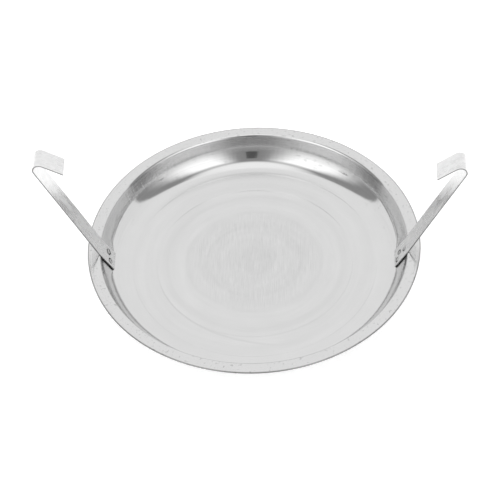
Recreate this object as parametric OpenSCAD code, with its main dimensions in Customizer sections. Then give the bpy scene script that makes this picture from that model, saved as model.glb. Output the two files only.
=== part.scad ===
// Shallow round hanging dish in stainless steel sheet, with two hooked flat straps spot-welded
// inside its wall. Millimetres, +Z up, the origin under the centre of the floor. The front is -Y.

/* [Dish] */
// Outside diameter of the rim
rim_d = 300; // [240:1:400]
// Height from the surface it stands on to the top of the rim
dish_h = 28; // [26:0.5:45]
// Thickness of the dish's sheet
sheet_t = 0.7; // [0.5:0.1:1.2]
// Width of the flange, from the top of the wall to the outer edge
flange_w = 10.8; // [7:0.1:16]
// How far the flange falls from its outer edge to the top of the wall
flange_fall = 0.3; // [0:0.1:1]
// Width of the hem that is folded under the flange's edge
hem_w = 2.6; // [2:0.1:5]
// Slope of the wall's straight upper part from the horizontal, in degrees
wall_slope = 75; // [65:0.5:78]
// Radius of the wide bend between the floor and the wall
floor_bend_r = 24; // [12:1:26]
// Bend radius between the wall and the flange
rim_bend_r = 2.5; // [1:0.5:4]

/* [Floor] */
// Distance of the inner pressed step from the floor's edge; outside it the floor is a little higher
inner_step_in = 23.7; // [10:0.1:40]
// Distance of the outer pressed step from the floor's edge
outer_step_in = 1.7; // [1:0.1:5]
// Height of each step
step_h = 0.25; // [0.1:0.05:0.3]

/* [Straps] */
// Width of the strap steel
strap_w = 20; // [14:1:26]
// Thickness of the strap steel
strap_t = 1; // [0.8:0.1:1.5]
// Turn of each strap towards the front, from the side-to-side diameter, in degrees
strap_turn = 2.6; // [0:0.1:8]
// Height of the strap's lower end
foot_z = 6.8; // [6.5:0.1:9]
// Distance from the dish's axis to the outside of the hook's bend
hook_reach = 183; // [170:1:195]
// Height of the left hook above the rim
left_rise = 113; // [80:1:140]
// Height of the right hook above the rim
right_rise = 104; // [80:1:140]
// Outside radius of the hook's bend
hook_r = 6; // [4:0.5:8]
// Length of the hook's straight free leg
hook_leg = 19.5; // [15:0.5:30]
// Fall of the left hook's leg below the horizontal, in degrees
left_fall = 33; // [15:1:50]
// Fall of the right hook's leg below the horizontal, in degrees
right_fall = 39; // [15:1:50]

/* [Welds] */
// Diameter of a spot weld
weld_d = 5; // [3:0.5:6]
// Depth of the dimple that a weld leaves in the strap's face
weld_dimple = 0.1; // [0.05:0.05:0.2]

/* [Hidden] */

// Places of the welds on a strap's foot: across from its middle, positive to the back,
// and up the foot from its lower end
LEFT_BACK = [3.7, 10.7];
LEFT_FRONT = [-4.6, 7];
RIGHT_BACK = [1.4, 8.3];
RIGHT_FRONT = [-4.5, 4.6];
RIGHT_UPPER = [-1, 17];

strap_play = 0.05;     // between a strap's edges and the wall
bend_step = 5;         // largest turn, in degrees, of one facet of a bend
step_run = 0.3;        // width of a pressed step's slope
step_bend_r = 0.4;
strap_bend_r = 6;      // of the slight bend where a strap passes the rim

rim_r = rim_d / 2;
wall_top_r = rim_r - flange_w;
floor_mid_z = sheet_t / 2;
edge_mid_z = dish_h - sheet_t / 2;
wall_top_z = edge_mid_z - flange_fall;
wall_foot_z = floor_mid_z + 2 * step_h;
wall_foot_r = wall_top_r - (wall_top_z - wall_foot_z) / tan(wall_slope);

// The wide bend's centre, [radius, height], stands over the edge of the flat floor
floor_r = wall_foot_r - floor_bend_r * tan(wall_slope / 2);
bend_centre = [floor_r, wall_foot_z + floor_bend_r];
bend_inner_r = floor_bend_r - sheet_t / 2;
bend_top_z = bend_centre[1] - bend_inner_r * cos(wall_slope);

// Radius of the dish's inner face at height z, in the bend or in the straight wall over it
function wall_r(z) =
    z < bend_top_z
        ? floor_r + sqrt(pow(bend_inner_r, 2) - pow(bend_centre[1] - z, 2))
        : wall_top_r - (wall_top_z - z) / tan(wall_slope) - sheet_t / 2 / sin(wall_slope);

// The flat foot of a strap bridges the hollow wall. Its back's two edges touch the wall at the
// foot's lower end and just under the rim, where the back is this far from the dish's axis
function touch(z) = [sqrt(pow(wall_r(z), 2) - pow(strap_w / 2, 2)) - strap_play, z];

// Bent sheet: a path of corners becomes an outline of thickness t, with every corner an arc

function unit(v) = v / norm(v);
function heading(a) = [cos(a), sin(a)];
function left_of(v) = [-v[1], v[0]];
function turn(u, v) = atan2(u[0] * v[1] - u[1] * v[0], u * v);

// The arc at corner b, on the side that lies `side` to the left of the path
function bend(a, b, c, r, side) =
    let (
        u = unit(b - a),
        angle = turn(u, unit(c - b)),
        s = sign(angle),
        centre = b - u * r * tan(abs(angle) / 2) + left_of(u) * s * r,
        first = atan2(u[1], u[0]),
        n = ceil(abs(angle) / bend_step)
    )
    [for (i = [0:n]) centre + left_of(heading(first + angle * i / n)) * (side - s * r)];

function side_points(path, radii, side) =
    let (n = len(path) - 1)
    [
        path[0] + left_of(unit(path[1] - path[0])) * side,
        for (i = [1:n - 1]) each bend(path[i - 1], path[i], path[i + 1], radii[i - 1], side),
        path[n] + left_of(unit(path[n] - path[n - 1])) * side
    ];

function reversed(list) = [for (i = [len(list) - 1:-1:0]) list[i]];

// A square-cut end needs no points of its own in far_end
module bent_sheet(path, radii, t, far_end = []) {
    polygon(concat(
        side_points(path, radii, t / 2),
        far_end,
        reversed(side_points(path, radii, -t / 2))
    ));
}

// Dish

function step_corners(r, z) = [[r - step_run / 2, z], [r + step_run / 2, z + step_h]];

dish_path = concat(
    [[0, floor_mid_z]],
    step_corners(floor_r - inner_step_in, floor_mid_z),
    step_corners(floor_r - outer_step_in, floor_mid_z + step_h),
    [[wall_foot_r, wall_foot_z], [wall_top_r, wall_top_z], [rim_r - hem_w, edge_mid_z]]
);
dish_radii = [step_bend_r, step_bend_r, step_bend_r, step_bend_r, floor_bend_r, rim_bend_r];

// The hem's two layers are pressed shut, so the edge is twice as thick, with a round fold
fold_centre = [rim_r - sheet_t, dish_h - sheet_t];
hem_points = concat(
    [for (a = [90:-15:-90]) fold_centre + sheet_t * heading(a)],
    [[rim_r - hem_w, dish_h - 2 * sheet_t]]
);

module dish() {
    color("gainsboro")
    difference() {
        rotate_extrude($fn = 240) bent_sheet(dish_path, dish_radii, sheet_t, hem_points);
        on_left() for (at = [LEFT_BACK, LEFT_FRONT]) nugget(at);
        on_right() for (at = [RIGHT_BACK, RIGHT_FRONT, RIGHT_UPPER]) nugget(at);
    }
}

// Straps. Each is drawn standing in the XZ plane, with +X away from the dish's axis

foot_end = touch(foot_z);
foot_rise = touch(wall_top_z - 1.2 * rim_bend_r) - foot_end;
foot_slope = atan2(foot_rise[1], foot_rise[0]);
foot_start = foot_end + left_of(heading(foot_slope)) * strap_t / 2;

// Distance along the foot's normal from its back to the wall, a given way up the foot
function foot_gap(up) =
    let (
        out = -left_of(heading(foot_slope)),
        from_centre = foot_end + up * heading(foot_slope) - bend_centre,
        along = from_centre * out
    )
    sqrt(pow(along, 2) + pow(bend_inner_r, 2) - from_centre * from_centre) - along;

module on_right() {
    rotate([0, 0, -strap_turn]) children();
}

module on_left() {
    mirror([1, 0, 0]) on_right() children();
}

// The strap runs up the wall, bends at the rim, meets the hook's bend as a tangent and comes
// back in its free leg
function strap_path(rise, fall) =
    let (
        r = hook_r - strap_t / 2,
        rim = foot_start + heading(foot_slope) * (dish_h - foot_start[1]) / sin(foot_slope),
        centre = [hook_reach - hook_r, dish_h + rise - hook_r],
        to_centre = centre - rim,
        up = atan2(to_centre[1], to_centre[0]) - asin(r / norm(to_centre)),
        back = 180 + fall,
        bend_start = centre + r * heading(up - 90),
        bend_end = centre + r * heading(back - 90)
    )
    [
        foot_start,
        rim,
        bend_start + heading(up) * r * tan((back - up) / 2),
        bend_end + heading(back) * hook_leg
    ];

// Places a child on the inner face of the foot: X runs up the foot, Z points off the wall
module on_foot() {
    translate([foot_start[0], 0, foot_start[1]]) rotate([0, -foot_slope, 0])
        translate([0, 0, strap_t / 2]) children();
}

// A weld reaches from its dimple, through the strap and the gap, halfway into the dish's sheet
module nugget(at) {
    depth = strap_t + foot_gap(at[1]) + sheet_t / 2;
    on_foot() translate([at[1], at[0], -depth])
        cylinder(d = weld_d, h = depth - weld_dimple, $fn = 48);
}

module strap(rise, fall, welds) {
    difference() {
        rotate([90, 0, 0]) linear_extrude(strap_w, center = true)
            bent_sheet(strap_path(rise, fall), [strap_bend_r, hook_r - strap_t / 2], strap_t);
        for (at = welds) on_foot() translate([at[1], at[0], -2 * strap_t])
            cylinder(d = weld_d, h = 3 * strap_t, $fn = 48);
    }
}

module left_strap() {
    color("silver") on_left() strap(left_rise, left_fall, [LEFT_BACK, LEFT_FRONT]);
}

module right_strap() {
    color("silver") on_right()
        strap(right_rise, right_fall, [RIGHT_BACK, RIGHT_FRONT, RIGHT_UPPER]);
}

module left_weld_back() { color("dimgray") on_left() nugget(LEFT_BACK); }
module left_weld_front() { color("dimgray") on_left() nugget(LEFT_FRONT); }
module right_weld_back() { color("dimgray") on_right() nugget(RIGHT_BACK); }
module right_weld_front() { color("dimgray") on_right() nugget(RIGHT_FRONT); }
module right_weld_upper() { color("dimgray") on_right() nugget(RIGHT_UPPER); }

dish();
left_strap();
right_strap();
left_weld_back();
left_weld_front();
right_weld_back();
right_weld_front();
right_weld_upper();
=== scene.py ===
import math

import bpy
import numpy as np
from mathutils import Matrix, Vector, noise


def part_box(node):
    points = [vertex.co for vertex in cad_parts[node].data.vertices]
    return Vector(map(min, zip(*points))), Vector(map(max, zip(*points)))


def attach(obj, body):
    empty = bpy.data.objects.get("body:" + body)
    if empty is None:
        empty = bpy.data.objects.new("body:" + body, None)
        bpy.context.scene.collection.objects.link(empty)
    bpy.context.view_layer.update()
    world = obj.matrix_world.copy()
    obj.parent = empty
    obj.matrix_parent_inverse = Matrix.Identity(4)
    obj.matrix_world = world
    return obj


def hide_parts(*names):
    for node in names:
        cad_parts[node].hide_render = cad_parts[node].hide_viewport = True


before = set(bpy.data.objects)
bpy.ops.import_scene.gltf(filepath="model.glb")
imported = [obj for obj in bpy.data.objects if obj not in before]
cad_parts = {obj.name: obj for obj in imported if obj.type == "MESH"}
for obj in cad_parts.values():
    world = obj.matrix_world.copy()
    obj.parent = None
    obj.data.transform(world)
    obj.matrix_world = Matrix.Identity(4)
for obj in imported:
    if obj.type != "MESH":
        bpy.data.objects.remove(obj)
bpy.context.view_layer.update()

# ---------------------------------------------------------------- sizes, in metres
MM = 0.001
DISH_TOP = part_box("dish")[1]
RIM_R = DISH_TOP.x
DISH_H = DISH_TOP.z
SHEET_T = 0.7 * MM
FLANGE_W = 10.8 * MM
FLANGE_FALL = 0.3 * MM
HEM_W = 2.6 * MM
HEM_CREASE = 0.05 * MM
WALL_SLOPE = math.radians(75)
FLOOR_BEND_R = 24 * MM
RIM_BEND_R = 2.5 * MM
STEPS_IN = (23.7 * MM, 1.7 * MM)
STEP_H = 0.25 * MM
STEP_RUN = 0.3 * MM
STEP_BEND_R = 0.4 * MM
# The slack crease on the floor: its radius, how far it winds out, and where it runs, in degrees
CREASE_R = 90 * MM
CREASE_DRIFT = 13.5 * MM
CREASE_FROM = 195
CREASE_TURN = 90
# The welds draw the wall flat behind a strap's foot: the gap that is left between the two, how far
# to each side the wall stays drawn in, and the heights between which this fades under the rim
FOOT_GAP = 0.5 * MM
FLAT_FADE = 24 * MM
FLAT_TOP = (0.83 * DISH_H, 0.92 * DISH_H)
DISH_TURNS = 360

STRAP_W = 20 * MM
STRAP_T = 1 * MM
STRAP_TURN = math.radians(2.6)
STRAP_BEND_R = 6 * MM
STRAP_EDGE_R = 0.2 * MM
STRAP_WOBBLE = 0.07 * MM
STRAP_PLAY = 0.05 * MM
FOOT_Z = 6.8 * MM
HOOK_REACH = 183 * MM
HOOK_R = 6 * MM
HOOK_LEG = 19.5 * MM
SIDES = {
    "left": {"top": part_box("left_strap")[1].z, "fall": math.radians(33), "mirror": True},
    "right": {"top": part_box("right_strap")[1].z, "fall": math.radians(39), "mirror": False},
}
WELD_R = 2.5 * MM
WELD_TURNS = 64
DENT_DEPTH = 0.14 * MM
# A weld's side, its place across the strap's foot, positive to the back, its place up the foot,
# its size beside WELD_R, how dark it burnt, and the middle and width of the gap in its ring
WELDS = {
    "left_weld_back": ("left", 3.7 * MM, 10.7 * MM, 1.25, 1.0, 60, 60),
    "left_weld_front": ("left", -4.6 * MM, 7.0 * MM, 1.1, 0.6, 200, 60),
    "right_weld_back": ("right", 1.4 * MM, 8.3 * MM, 1.05, 0.9, 250, 50),
    "right_weld_front": ("right", -4.5 * MM, 4.6 * MM, 1.1, 0.7, 0, 150),
    "right_weld_upper": ("right", -1.0 * MM, 17.0 * MM, 1.0, 0.7, 60, 150),
}

# ---------------------------------------------------------------- bent sheet


def heading(angle):
    return np.array([math.cos(angle), math.sin(angle)])


def left_of(v):
    return np.array([-v[1], v[0]])


def unit(v):
    return v / np.linalg.norm(v)


def straight(start, end, step):
    """Points and left-hand normals along a straight stretch, its end left out."""
    count = max(1, math.ceil(np.linalg.norm(end - start) / step))
    normal = left_of(unit(end - start))
    return [(start + (end - start) * i / count, normal) for i in range(count)]


def bent_path(corners, radii, step, turn_step):
    """Points and left-hand normals along a path whose inner corners are arcs of these radii."""
    corners = [np.array(c, float) for c in corners]
    samples, here = [], corners[0]
    for a, b, c, r in zip(corners, corners[1:], corners[2:], radii):
        u, v = unit(b - a), unit(c - b)
        turn = math.atan2(u[0] * v[1] - u[1] * v[0], u @ v)
        side = math.copysign(1, turn)
        start = b - u * r * math.tan(abs(turn) / 2)
        centre = start + left_of(u) * side * r
        first = math.atan2(u[1], u[0])
        samples += straight(here, start, step)
        count = max(2, math.ceil(abs(turn) / turn_step))
        for i in range(count):
            normal = left_of(heading(first + turn * i / count))
            samples.append((centre - normal * side * r, normal))
        here = centre - left_of(heading(first + turn)) * side * r
    samples += straight(here, corners[-1], step)
    samples.append((corners[-1], left_of(unit(corners[-1] - here))))
    return samples


# ---------------------------------------------------------------- mesh helpers


def smooth_step(low, high, value):
    t = min(1.0, max(0.0, (value - low) / (high - low)))
    return t * t * (3 - 2 * t)


def bump(value, middle, half_width):
    """1 at the middle, falling smoothly to 0 at the half width."""
    return 1 - smooth_step(0, half_width, abs(value - middle))


def new_object(name, points, faces, sharp_angle):
    mesh = bpy.data.meshes.new(name)
    mesh.from_pydata([tuple(p) for p in points], [], faces)
    mesh.validate()
    mesh.polygons.foreach_set("use_smooth", [True] * len(mesh.polygons))
    mesh.set_sharp_from_angle(angle=sharp_angle)
    mesh.update()
    obj = bpy.data.objects.new(name, mesh)
    bpy.context.scene.collection.objects.link(obj)
    return obj


def set_share(obj, name, values):
    """Stores a number from 0 to 1 at each point, for the material to read."""
    layer = obj.data.attributes.new(name, "FLOAT", "POINT")
    layer.data.foreach_set("value", values)


def ring_faces(rows, columns):
    """Quads over rows of points that each close into a ring. Row i, column j is i * columns + j."""
    return [
        (
            i * columns + j,
            i * columns + (j + 1) % columns,
            (i + 1) * columns + (j + 1) % columns,
            (i + 1) * columns + j,
        )
        for i in range(rows - 1)
        for j in range(columns)
    ]


def capped_faces(rows, columns):
    """The same, closed with a face over the first ring and one over the last."""
    last = (rows - 1) * columns
    caps = [tuple(range(columns))[::-1], tuple(range(last, last + columns))]
    return ring_faces(rows, columns) + caps


def turned_over(faces):
    return [face[::-1] for face in faces]


# ---------------------------------------------------------------- dish

EDGE_Z = DISH_H - SHEET_T / 2
WALL_TOP = np.array([RIM_R - FLANGE_W, EDGE_Z - FLANGE_FALL])
WALL_FOOT_Z = SHEET_T / 2 + len(STEPS_IN) * STEP_H
WALL_FOOT_R = WALL_TOP[0] - (WALL_TOP[1] - WALL_FOOT_Z) / math.tan(WALL_SLOPE)
FLOOR_R = WALL_FOOT_R - FLOOR_BEND_R * math.tan(WALL_SLOPE / 2)
BEND_CENTRE = np.array([FLOOR_R, WALL_FOOT_Z + FLOOR_BEND_R])
BEND_INNER_R = FLOOR_BEND_R - SHEET_T / 2


def wall_r(z):
    """Radius of the dish's inner face at height z, in the bend or in the straight wall over it."""
    if z < BEND_CENTRE[1] - BEND_INNER_R * math.cos(WALL_SLOPE):
        return FLOOR_R + math.sqrt(BEND_INNER_R**2 - (BEND_CENTRE[1] - z) ** 2)
    return WALL_TOP[0] - (WALL_TOP[1] - z) / math.tan(WALL_SLOPE) - SHEET_T / 2 / math.sin(WALL_SLOPE)


def touch(z):
    """Where the two edges of a strap's back touch the hollow wall."""
    return np.array([math.sqrt(wall_r(z) ** 2 - (STRAP_W / 2) ** 2) - STRAP_PLAY, z])


FOOT_END = touch(FOOT_Z)
FOOT_RISE = touch(WALL_TOP[1] - 1.2 * RIM_BEND_R) - FOOT_END
FOOT_SLOPE = math.atan2(FOOT_RISE[1], FOOT_RISE[0])
FOOT_START = FOOT_END + left_of(heading(FOOT_SLOPE)) * STRAP_T / 2


def dish_corners():
    """The sheet's middle line, from the axis to the hem, and the radius of each bend in it."""
    corners = [(0.4 * MM, SHEET_T / 2)]
    for i, inward in enumerate(STEPS_IN):
        corners.append((FLOOR_R - inward - STEP_RUN / 2, SHEET_T / 2 + i * STEP_H))
        corners.append((FLOOR_R - inward + STEP_RUN / 2, SHEET_T / 2 + (i + 1) * STEP_H))
    corners += [(WALL_FOOT_R, WALL_FOOT_Z), tuple(WALL_TOP), (RIM_R - HEM_W, EDGE_Z)]
    radii = [STEP_BEND_R] * (2 * len(STEPS_IN)) + [FLOOR_BEND_R, RIM_BEND_R]
    return corners, radii


def dish_profile():
    """The closed section: each point, the way it is pushed, and the inner face next to it."""
    corners, radii = dish_corners()
    upper = bent_path(corners, radii, 1.5 * MM, math.radians(3))
    lower = bent_path(corners, radii, 5 * MM, math.radians(15))
    up = np.array([0.0, 1.0])
    fold = np.array([RIM_R - SHEET_T, DISH_H - SHEET_T])
    edge = []
    for dr, dz in ((-0.35, 0), (-0.12, -1), (0.12, -1), (0.35, 0)):
        edge.append(np.array([RIM_R - HEM_W + dr * MM, DISH_H + dz * HEM_CREASE]))
    edge += [fold + SHEET_T * heading(a) for a in np.radians(np.arange(90, -91, -15))]
    edge.append(np.array([RIM_R - HEM_W, DISH_H - 2 * SHEET_T]))
    half = SHEET_T / 2
    section = [(p + n * half, n, p + n * half) for p, n in upper[:-1]]
    section += [(p, up, p) for p in edge]
    section += [(p - n * half, n, p + n * half) for p, n in reversed(lower)]
    return section


def crease_r(angle):
    """Radius of the slack crease that winds out over the front left of the floor."""
    share = (math.degrees(angle) - CREASE_FROM) / CREASE_TURN
    return CREASE_R + CREASE_DRIFT * max(0.0, share) ** 4


def flat_push(r, z, angle):
    """How far the welds have drawn the hollow wall flat against the nearer strap's back."""
    strap = math.pi + STRAP_TURN if math.cos(angle) < 0 else -STRAP_TURN
    out = -left_of(heading(FOOT_SLOPE))
    across = abs(r * math.sin(angle - strap))
    point = np.array([r * math.cos(angle - strap), z])
    gap = (point - FOOT_END) @ out - FOOT_GAP
    under_rim = 1 - smooth_step(*FLAT_TOP, z)
    beside = 1 - smooth_step(STRAP_W / 2, STRAP_W / 2 + FLAT_FADE, across)
    return max(0.0, gap) * under_rim * beside


def sheet_push(r, angle):
    """How far the pressed sheet lies off its ideal surface."""
    x, y, degrees = r * math.cos(angle), r * math.sin(angle), math.degrees(angle)
    wave = noise.noise(Vector((x, y, 0.0)) / (60 * MM))
    fine = noise.noise(Vector((x, y, 5.0)) / (22 * MM))
    ends = smooth_step(CREASE_FROM, CREASE_FROM + 20, degrees) * (1 - smooth_step(270, 288, degrees))
    crease = ends * bump(r, crease_r(angle), 2.6 * MM)
    slack = 0.3 + 0.7 * smooth_step(FLOOR_R, WALL_TOP[0], r)
    return ((0.16 * wave + 0.04 * fine) * slack - 0.05 * crease) * MM


def build_dish():
    section = dish_profile()
    points = []
    for p, n, inner in section:
        for j in range(DISH_TURNS):
            angle = 2 * math.pi * j / DISH_TURNS
            r, z = p + n * (sheet_push(p[0], angle) + flat_push(inner[0], inner[1], angle))
            points.append((r * math.cos(angle), r * math.sin(angle), max(z, 0.0)))
    faces = turned_over(capped_faces(len(section), DISH_TURNS))
    return new_object("dish_sheet", points, faces, math.radians(40))


# ---------------------------------------------------------------- straps


def strap_corners(top, fall):
    """The strip's middle line: its foot, the rim, the hook's bend and the end of the free leg."""
    r = HOOK_R - STRAP_T / 2
    rim = FOOT_START + heading(FOOT_SLOPE) * (DISH_H - FOOT_START[1]) / math.sin(FOOT_SLOPE)
    centre = np.array([HOOK_REACH - HOOK_R, top - HOOK_R])
    to_centre = centre - rim
    up = math.atan2(to_centre[1], to_centre[0]) - math.asin(r / np.linalg.norm(to_centre))
    back = math.pi + fall
    bend_start = centre + r * heading(up - math.pi / 2)
    bend_end = centre + r * heading(back - math.pi / 2)
    return [
        tuple(FOOT_START),
        tuple(rim),
        tuple(bend_start + heading(up) * r * math.tan((back - up) / 2)),
        tuple(bend_end + heading(back) * HOOK_LEG),
    ]


def strap_ring():
    """The strap's section, (across, through), with rounded edges and a fine grid over its width."""
    half_w, half_t, r = STRAP_W / 2, STRAP_T / 2, STRAP_EDGE_R
    ring = []
    for sx, sy, start in ((1, 1, 90), (1, -1, 0), (-1, -1, -90), (-1, 1, 180)):
        centre = np.array([sx * (half_w - r), sy * (half_t - r)])
        corner = [centre + r * heading(math.radians(start - a)) for a in (0, 30, 60, 90)]
        if ring and abs(ring[-1][0] - corner[0][0]) > STRAP_T:
            ring += [p for p, _ in straight(ring[-1], corner[0], 0.5 * MM)[1:]]
        ring += corner
    ring += [p for p, _ in straight(ring[-1], ring[0], 0.5 * MM)[1:]]
    return ring


def on_side(side):
    """The matrix that carries a strap drawn in the XZ plane to its place on the dish."""
    turn = Matrix.Rotation(-STRAP_TURN, 4, "Z")
    return Matrix.Scale(-1, 4, Vector((1, 0, 0))) @ turn if SIDES[side]["mirror"] else turn


def weld_distances(side, across, up):
    """How far a point of a strap's face is from each of its welds, in radii of that weld."""
    return [
        (math.hypot(across - weld_across, up - weld_up) / (WELD_R * size), dark)
        for weld_side, weld_across, weld_up, size, dark, *_ in WELDS.values()
        if weld_side == side
    ]


def weld_dent(side, across, up):
    """Depth of the electrodes' prints in the strap's face."""
    nearest = min(away for away, _ in weld_distances(side, across, up))
    return DENT_DEPTH * (1 - smooth_step(0.95, 1.3, nearest))


def weld_halo(side, across, up):
    """Heat tint on the strap around its welds."""
    welds = weld_distances(side, across, up)
    return max(0.4 * dark * (1 - smooth_step(0.9, 1.7, away)) for away, dark in welds)


def build_strap(side):
    facts = SIDES[side]
    corners = strap_corners(facts["top"], facts["fall"])
    path = bent_path(corners, [STRAP_BEND_R, HOOK_R - STRAP_T / 2], 0.6 * MM, math.radians(4))
    ring = strap_ring()
    seed = 3.0 if side == "left" else 9.0
    points, burn, cut, run, before = [], [], [], 0.0, path[0][0]
    for p, n in path:
        run += float(np.linalg.norm(p - before))
        before = p
        for across, through in ring:
            wobble = STRAP_WOBBLE * noise.noise(Vector((run * 0.5, across, seed * MM)) / (14 * MM))
            dent = weld_dent(side, across, run) if through > 0 else 0.0
            x, z = p + n * (through + wobble - dent)
            points.append(on_side(side) @ Vector((x, across, z)))
            burn.append(weld_halo(side, across, run) if through > 0 else 0.0)
            # Marks the strap's edge faces, which the material paints dark as painted shade and painted
            # dark reflection
            cut.append(1.0 if abs(across) > STRAP_W / 2 - STRAP_EDGE_R else 0.0)
    faces = capped_faces(len(path), len(ring))
    strap = new_object(
        f"{side}_strap_strip",
        points,
        faces if facts["mirror"] else turned_over(faces),
        math.radians(50),
    )
    set_share(strap, "burn", burn)
    set_share(strap, "cut", cut)
    return strap


# ---------------------------------------------------------------- welds


def weld_ragged(name, angle):
    """Uneven share, about -0.5 to 0.5, of a weld's outline in this direction."""
    seed = 3.7 * list(WELDS).index(name)
    return noise.noise(Vector((math.cos(angle) * 1.6, math.sin(angle) * 1.6, seed)))


def build_weld(name):
    """A print with a thrown-up, burnt ring that is open on one side, on a plug down to the wall."""
    side, across, up, size, dark, gap_middle, gap_width = WELDS[name]
    radius = WELD_R * size
    shares = [0.02, 0.15, 0.3, 0.42, 0.52, 0.6, 0.68, 0.76, 0.84, 0.92, 1.0, 1.08, 1.16, 1.24]
    depth = STRAP_T + FOOT_GAP + SHEET_T / 2
    points, burn = [], []
    for share in shares:
        for j in range(WELD_TURNS):
            angle = 2 * math.pi * j / WELD_TURNS
            ragged = weld_ragged(name, angle)
            off_gap = abs((math.degrees(angle) - gap_middle + 180) % 360 - 180)
            here = smooth_step(gap_width / 2 - 25, gap_width / 2 + 25, off_gap)
            ring = bump(share, 0.80 + 0.12 * ragged, 0.26) * here
            height = (0.10 * ring * (1 + ragged) - 0.10 * smooth_step(1.0, 1.24, share) - 0.03) * MM
            r = radius * share * (1 + 0.12 * ragged * share)
            points.append((r * math.cos(angle), r * math.sin(angle), height))
            spot = 0.35 * bump(share, 0.1, 0.35)
            burn.append(min(1.0, dark * max(2.2 * ring, spot, 0.05)))
    for height in (-STRAP_T / 2, -depth):
        for j in range(WELD_TURNS):
            angle = 2 * math.pi * j / WELD_TURNS
            points.append((radius * math.cos(angle), radius * math.sin(angle), height))
            burn.append(dark)
    faces = capped_faces(len(shares) + 2, WELD_TURNS)
    foot = Matrix.Translation((FOOT_START[0], 0, FOOT_START[1])) @ Matrix.Rotation(-FOOT_SLOPE, 4, "Y")
    place = on_side(side) @ foot @ Matrix.Translation((up, across, STRAP_T / 2))
    points = [place @ Vector(p) for p in points]
    weld = new_object(
        f"{name}_print",
        points,
        faces if SIDES[side]["mirror"] else turned_over(faces),
        math.radians(60),
    )
    set_share(weld, "burn", burn)
    return weld


# ---------------------------------------------------------------- node trees


class Graph:
    """Short names for making nodes. Values are numbers or sockets."""

    def __init__(self, tree):
        self.tree = tree

    def node(self, kind, **settings):
        node = self.tree.nodes.new(kind)
        for key, value in settings.items():
            setattr(node, key, value)
        return node

    def feed(self, socket, value):
        if isinstance(value, bpy.types.NodeSocket):
            self.tree.links.new(value, socket)
        else:
            socket.default_value = value

    def math(self, operation, *values):
        node = self.node("ShaderNodeMath", operation=operation)
        for socket, value in zip(node.inputs, values):
            self.feed(socket, value)
        return node.outputs[0]

    def add(self, *values):
        total = values[0]
        for value in values[1:]:
            total = self.math("ADD", total, value)
        return total

    def times(self, *values):
        total = values[0]
        for value in values[1:]:
            total = self.math("MULTIPLY", total, value)
        return total

    def ramp(self, value, low, high, start=0.0, end=1.0):
        """start below low, end above high, and smooth between them."""
        node = self.node("ShaderNodeMapRange", interpolation_type="SMOOTHSTEP")
        for socket, number in zip(node.inputs, (value, low, high, start, end)):
            self.feed(socket, number)
        return node.outputs[0]

    def band(self, value, low, low_full, high_full, high):
        """1 from low_full to high_full, falling smoothly to 0 at low and high."""
        return self.times(self.ramp(value, low, low_full), self.ramp(value, high_full, high, 1, 0))

    def blend(self, start, end, share):
        return self.add(start, self.times(share, self.math("SUBTRACT", end, start)))

    def grey(self, value):
        node = self.node("ShaderNodeCombineColor")
        for socket in node.inputs:
            self.feed(socket, value)
        return node.outputs[0]

    def vector(self, x, y, z):
        node = self.node("ShaderNodeCombineXYZ")
        for socket, value in zip(node.inputs, (x, y, z)):
            self.feed(socket, value)
        return node.outputs[0]

    def split(self, place):
        node = self.node("ShaderNodeSeparateXYZ")
        self.feed(node.inputs[0], place)
        return node.outputs

    def noise(self, place, scale, detail=2.0, roughness=0.5):
        node = self.node("ShaderNodeTexNoise")
        self.feed(node.inputs["Vector"], place)
        node.inputs["Scale"].default_value = scale
        node.inputs["Detail"].default_value = detail
        node.inputs["Roughness"].default_value = roughness
        return node.outputs[0]


# ---------------------------------------------------------------- metals


def new_metal(name):
    material = bpy.data.materials.new(name)
    material.use_nodes = True
    g = Graph(material.node_tree)
    shader = material.node_tree.nodes["Principled BSDF"]
    shader.inputs["Metallic"].default_value = 1
    place = g.node("ShaderNodeTexCoord").outputs["Object"]
    return material, g, shader.inputs, place


def feed_bump(g, inputs, height, distance):
    node = g.node("ShaderNodeBump")
    node.inputs["Distance"].default_value = distance
    g.feed(node.inputs["Height"], height)
    g.feed(inputs["Normal"], node.outputs[0])


def slack_crease(g, x, y, radius):
    """1 on the faint crease that winds out over the front left of the floor, where the floor is
    painted darker as painted shade.
    """
    turn = g.times(g.math("ARCTAN2", y, x), 180 / math.pi)
    share = g.math("MAXIMUM", g.times(g.add(turn, 360 - CREASE_FROM), 1 / CREASE_TURN), 0)
    middle = g.add(CREASE_R, g.times(g.math("POWER", share, 4), CREASE_DRIFT))
    off = g.math("SUBTRACT", radius, middle)
    along = g.band(turn, CREASE_FROM - 360, CREASE_FROM - 343, -90, -72)
    return g.times(g.band(off, -2 * MM, -0.5 * MM, 0.5 * MM, 1.4 * MM), along)


def dish_zones(g, radius, z):
    """1 on each part of the dish and 0 elsewhere, with soft borders."""
    flange_r = RIM_R - FLANGE_W
    flange = g.ramp(radius, flange_r - 0.4 * MM, flange_r + 1.0 * MM)
    wall = g.times(g.ramp(radius, 120 * MM, 133 * MM), g.math("SUBTRACT", 1, flange))
    floor = g.ramp(radius, FLOOR_R, FLOOR_R + 14 * MM, 1, 0)
    return {
        "floor": floor,
        "disc": g.ramp(radius, 48 * MM, 68 * MM, 1, 0),
        "wall": wall,
        "drawn": g.times(wall, g.band(z, 11.0 * MM, 13.8 * MM, 23.5 * MM, 25.5 * MM)),
        "flange": flange,
        "edge": g.ramp(radius, RIM_R - 1.4 * MM, RIM_R - 0.6 * MM),
        "polished": g.math("SUBTRACT", 1, g.math("MAXIMUM", floor, flange)),
    }


def ring_mark(g, radius, middle, full, end):
    """A soft ring: full up to one distance from its middle radius, and gone at another."""
    return g.band(radius, middle - end, middle - full, middle + full, middle + end)


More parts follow.
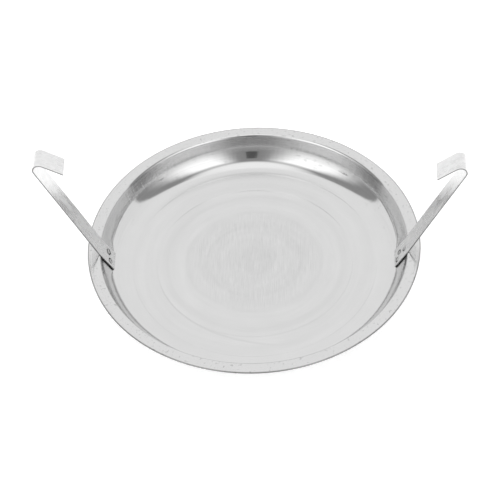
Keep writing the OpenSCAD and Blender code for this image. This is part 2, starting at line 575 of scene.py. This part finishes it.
def dish_steel():
    """Polished wall, brushed floor with spinning rings and fine scratches, speckled flange. Painted
    shade: the wall darker with darker patches, the floor darker along the slack crease, and the outer
    rim edge dark.
    """
    material, g, inputs, place = new_metal("polished_steel")
    x, y, z = g.split(place)
    radius = g.math("SQRT", g.add(g.times(x, x), g.times(y, y)))
    away = g.math("MAXIMUM", radius, MM)
    around_x, around_y = g.math("DIVIDE", x, away), g.math("DIVIDE", y, away)
    on = dish_zones(g, radius, z)

    def turned(times_round, along, detail, roughness=0.5):
        """Noise that runs round the axis, and changes along the radius or the height."""
        round_x, round_y = g.times(around_x, times_round), g.times(around_y, times_round)
        return g.noise(g.vector(round_x, round_y, along), 1, detail, roughness)

    draw_marks = turned(60, g.times(z, 12), 3, 0.65)
    wobble = turned(16, g.times(z, 60), 2)
    lathe = turned(2, g.times(g.add(radius, z), 900), 3, 0.6)
    rings = turned(1, g.times(radius, 110), 2)
    radial = turned(38, g.times(radius, 55), 3, 0.6)
    strokes = g.noise(g.vector(g.times(x, 1100), g.times(y, 60), z), 1, 2)
    wall_dark_patches = g.ramp(g.noise(g.vector(x, y, g.times(z, 3)), 110, 2), 0.62, 0.74)
    speckle = g.ramp(g.noise(place, 420, 2), 0.60, 0.74)
    grain = g.noise(place, 1500, 2)
    cloud = g.noise(place, 45, 3)

    tone = g.add(
        0.690,
        g.times(on["disc"], -0.030),
        g.times(g.ramp(radius, 14 * MM, 24 * MM, 1, 0), -0.018),
        g.times(ring_mark(g, radius, 43 * MM, 0.5 * MM, 3 * MM), -0.012),
        g.times(ring_mark(g, radius, 61 * MM, 0.5 * MM, 4 * MM), -0.016),
        g.times(ring_mark(g, radius, 82 * MM, 1 * MM, 5 * MM), -0.020),
        # Painted shade: the floor is darker along the slack crease
        g.times(slack_crease(g, x, y, radius), -0.035),
        g.times(on["floor"], g.add(rings, -0.5), 0.08),
        g.times(on["disc"], g.add(radial, -0.5), 0.05),
        g.times(on["disc"], g.add(strokes, -0.5), 0.15),
        g.times(g.add(cloud, -0.5), 0.035),
        g.times(g.add(grain, -0.5), 0.02),
        g.times(g.add(lathe, -0.5), g.add(0.03, g.times(on["wall"], 0.12))),
        # Painted shade: the wall is painted darker than the floor all over, and darker still in
        # patches
        g.times(on["wall"], g.add(0.03, g.times(wall_dark_patches, 0.10)), -1),
        g.times(on["drawn"], g.add(draw_marks, -0.5), 0.12),
        g.times(on["flange"], speckle, -0.18),
        # Painted shade and painted dark reflection: the outer edge of the rim is painted dark all
        # round, in place of the reflection on its rounded hem
        g.times(on["edge"], -0.36),
    )
    g.feed(inputs["Base Color"], g.grey(tone))

    rough = g.add(
        0.055,
        g.times(on["floor"], 0.15),
        g.times(on["disc"], 0.05),
        g.times(on["flange"], 0.12),
        g.times(on["polished"], g.add(lathe, -0.35), 0.10),
        g.times(on["drawn"], g.add(0.16, g.times(g.add(draw_marks, -0.5), 0.16))),
        g.times(g.add(cloud, -0.5), 0.06),
    )
    for inward in STEPS_IN:
        step = ring_mark(g, radius, FLOOR_R - inward, 0.2 * MM, 0.6 * MM)
        rough = g.add(rough, g.times(step, 0.04))
    g.feed(inputs["Roughness"], g.math("MAXIMUM", rough, 0.03))

    height = g.add(
        g.times(lathe, 0.45),
        g.times(on["disc"], radial, 0.3),
        g.times(on["drawn"], draw_marks, 0.5),
        g.times(on["wall"], wobble, 14),
        g.times(on["flange"], g.noise(place, 300, 2), 1.2),
        g.times(grain, 0.12),
    )
    feed_bump(g, inputs, height, 0.004 * MM)
    return material


def strap_steel():
    """Mill finish, rolled lengthwise and mottled, tinted around the welds, with matt sheared edges
    whose faces are painted dark as painted shade and painted dark reflection.
    """
    material, g, inputs, place = new_metal("strap_steel")
    x, y, z = g.split(place)
    run = g.add(z, g.times(x, 0.2))
    rolled = g.noise(g.vector(g.times(y, 1300), 0, g.times(run, 35)), 1, 3, 0.6)
    patches = g.noise(g.vector(g.times(x, 60), g.times(y, 170), g.times(z, 60)), 1, 3)
    mottle = g.noise(place, 260, 3, 0.6)
    burn = g.node("ShaderNodeAttribute", attribute_name="burn").outputs["Fac"]
    cut = g.ramp(g.node("ShaderNodeAttribute", attribute_name="cut").outputs["Fac"], 0.2, 0.8)
    tone = g.add(
        0.80,
        g.times(g.add(rolled, -0.5), 0.12),
        g.times(g.add(patches, -0.5), 0.22),
        g.times(g.add(mottle, -0.5), 0.22),
        g.times(burn, -0.25),
    )
    # Painted shade and painted dark reflection: the edge faces get a near black colour
    g.feed(inputs["Base Color"], g.grey(g.blend(tone, g.add(0.16, g.times(mottle, 0.16)), cut)))
    rough = g.add(
        0.25,
        g.times(g.ramp(patches, 0.4, 0.65), 0.08),
        g.times(g.add(rolled, -0.4), 0.12),
        g.times(burn, 0.2),
    )
    g.feed(inputs["Roughness"], g.blend(g.math("MAXIMUM", rough, 0.08), 0.45, cut))
    feed_bump(g, inputs, g.add(g.times(rolled, 0.5), g.times(mottle, 0.6)), 0.006 * MM)
    return material


def weld_steel():
    """Bare steel where the burn is low and dark, matt scale where it is high."""
    material, g, inputs, place = new_metal("weld_mark")
    burn = g.node("ShaderNodeAttribute", attribute_name="burn").outputs["Fac"]
    scale = g.noise(place, 1400, 3, 0.65)
    dark = g.ramp(g.add(burn, g.times(g.add(scale, -0.5), 0.3)), 0.1, 0.65)
    g.feed(inputs["Base Color"], g.grey(g.blend(0.62, 0.035, dark)))
    g.feed(inputs["Roughness"], g.blend(0.2, 0.6, dark))
    feed_bump(g, inputs, scale, 0.05 * MM)
    return material


# ---------------------------------------------------------------- stage, light and camera


# A little under the dish, so that the two don't share a plane
STUDIO_FLOOR_Z = -0.2 * MM
STUDIO_FLOOR_HALF = 6


def build_floor():
    size, z = STUDIO_FLOOR_HALF, STUDIO_FLOOR_Z
    points = [(-size, -size, z), (size, -size, z), (size, size, z), (-size, size, z)]
    floor = new_object("studio_floor", points, [(0, 1, 2, 3)], 1)
    material = bpy.data.materials.new("studio_floor")
    material.use_nodes = True
    inputs = material.node_tree.nodes["Principled BSDF"].inputs
    inputs["Base Color"].default_value = (0.95, 0.95, 0.95, 1)
    inputs["Roughness"].default_value = 0.9
    inputs["Emission Color"].default_value = (1, 1, 1, 1)
    inputs["Emission Strength"].default_value = 0.42
    floor.data.materials.append(material)


# Where the studio's parts begin and are full, are full and end, in degrees: turns from the front,
# positive to the right, and rises from the horizon. Then how bright each is
LEFT_BOX_TURN = (-87, -58, -42, -6)
RIGHT_BOX_TURN = (10, 36, 50, 86)
BOX_TOP = (60, 75)
GAP_TURN = (-4, -2, 5, 7)
GAP_RISE = (22, 26, 55, 59)
CEILING_RISE = (67, 79)
LEFT_BOX_LIGHT = 1.25
RIGHT_BOX_LIGHT = 1.20
ROOM_LIGHT = 0.34
BACKDROP_LIGHT = 1.01
CEILING_LIGHT = 1.2


def studio_light(g, direction):
    """White backdrop and ceiling, two soft boxes, and the dark gap between them at the front."""
    x, y, z = g.split(direction)
    turn = g.times(g.math("ARCTAN2", x, g.times(y, -1)), 180 / math.pi)
    rise = g.times(g.math("ARCSINE", z), 180 / math.pi)
    boxes = g.add(
        g.times(g.band(turn, *LEFT_BOX_TURN), LEFT_BOX_LIGHT),
        g.times(g.band(turn, *RIGHT_BOX_TURN), RIGHT_BOX_LIGHT),
    )
    boxes = g.times(boxes, g.ramp(rise, 0, 45, 0.62, 1), g.ramp(rise, *BOX_TOP, 1, 0))
    gap = g.times(g.band(turn, *GAP_TURN), g.band(rise, *GAP_RISE))
    front = g.times(g.add(boxes, ROOM_LIGHT), g.blend(1.0, 0.35, gap))
    behind = g.add(y, g.times(z, -0.12), g.times(x, 0.04), -0.05)
    room = g.blend(front, BACKDROP_LIGHT, g.ramp(behind, -0.04, 0.04))
    return g.blend(room, CEILING_LIGHT, g.ramp(rise, *CEILING_RISE))


def build_world():
    """The studio lights the dish, and the camera itself sees plain white behind it."""
    world = bpy.data.worlds.new("studio")
    world.use_nodes = True
    g = Graph(world.node_tree)
    background = world.node_tree.nodes["Background"]
    seen = g.node("ShaderNodeLightPath").outputs["Is Camera Ray"]
    light = studio_light(g, g.node("ShaderNodeTexCoord").outputs["Generated"])
    g.feed(background.inputs["Color"], g.grey(g.blend(light, 1.0, seen)))
    bpy.context.scene.world = world


# In metres and degrees, and a lens in millimetres. The aim is off the middle of the rim
CAMERA_DISTANCE = 1.193
CAMERA_ELEVATION = math.radians(47.65)
CAMERA_AZIMUTH = math.radians(3.35)
CAMERA_ROLL = math.radians(-3.04)
CAMERA_LENS = 95.1
AIM_RIGHT = -3.25 * MM
AIM_UP = -9.14 * MM


def build_camera():
    """Looks at a point just off the middle of the rim."""
    elevation, roll = CAMERA_ELEVATION, CAMERA_ROLL
    turn = Matrix.Rotation(CAMERA_AZIMUTH, 3, "Z")
    forward = turn @ Vector((0, math.cos(elevation), -math.sin(elevation)))
    level = turn @ Vector((1, 0, 0))
    rise = turn @ Vector((0, math.sin(elevation), math.cos(elevation)))
    right = level * math.cos(roll) + rise * math.sin(roll)
    up = rise * math.cos(roll) - level * math.sin(roll)
    aim = Vector((0, 0, DISH_H)) + right * AIM_RIGHT + up * AIM_UP
    data = bpy.data.cameras.new("camera")
    data.lens = CAMERA_LENS
    data.clip_start = 0.05
    camera = bpy.data.objects.new("camera", data)
    axes = Matrix((right, up, -forward)).transposed()
    camera.matrix_world = Matrix.Translation(aim - forward * CAMERA_DISTANCE) @ axes.to_4x4()
    bpy.context.scene.collection.objects.link(camera)
    bpy.context.scene.camera = camera


# ---------------------------------------------------------------- put together


def add_piece(piece, node, material):
    """Puts a visual piece in the place of a CAD node. Nothing moves, so all ride on the root."""
    piece.data.materials.append(material)
    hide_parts(node)
    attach(piece, "root")


build_camera()
build_floor()
build_world()
bpy.context.scene.view_settings.view_transform = "Standard"

add_piece(build_dish(), "dish", dish_steel())
strip = strap_steel()
for side in SIDES:
    add_piece(build_strap(side), f"{side}_strap", strip)
burnt = weld_steel()
for name in WELDS:
    add_piece(build_weld(name), name, burnt)
